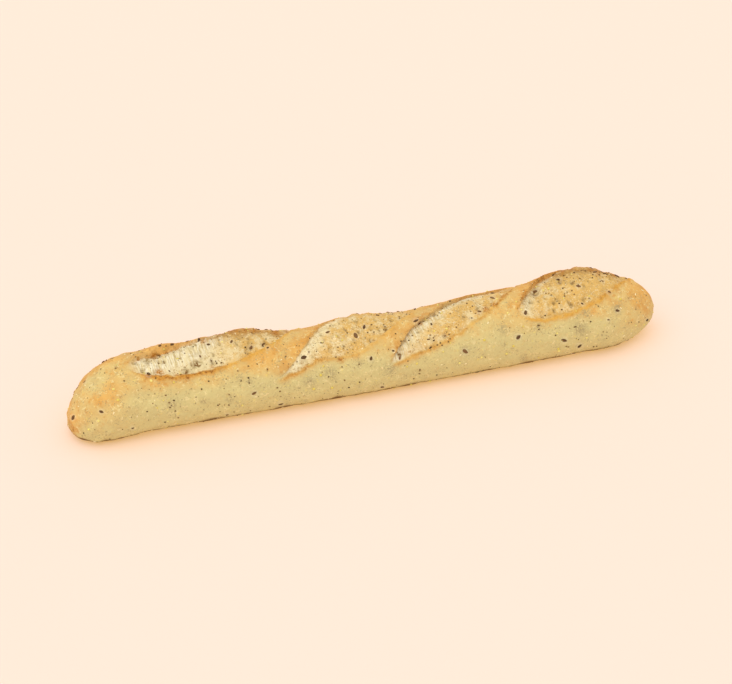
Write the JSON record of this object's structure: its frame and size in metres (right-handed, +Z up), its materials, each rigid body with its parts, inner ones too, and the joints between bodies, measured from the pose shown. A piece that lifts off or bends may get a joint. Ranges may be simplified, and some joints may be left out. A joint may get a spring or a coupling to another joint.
{
  "type": "seeded baguette",
  "caption": "Long slender loaf with slanting scores across the top, rounded ends, a narrow flat base and seeds baked into the crust.",
  "frame": {"origin": "on the table plane, under the middle of the loaf's bounding box", "axes": "+X along the loaf towards its blunter end, +Z up from the base through the scored top"},
  "size_m": [0.5002, 0.0734, 0.0613],
  "materials": {
    "crust": "baked crust, matte, golden on top and pale on the flanks"
  },
  "bodies": {
    "root": {"baguette": "crust"}
  },
  "joints": []
}
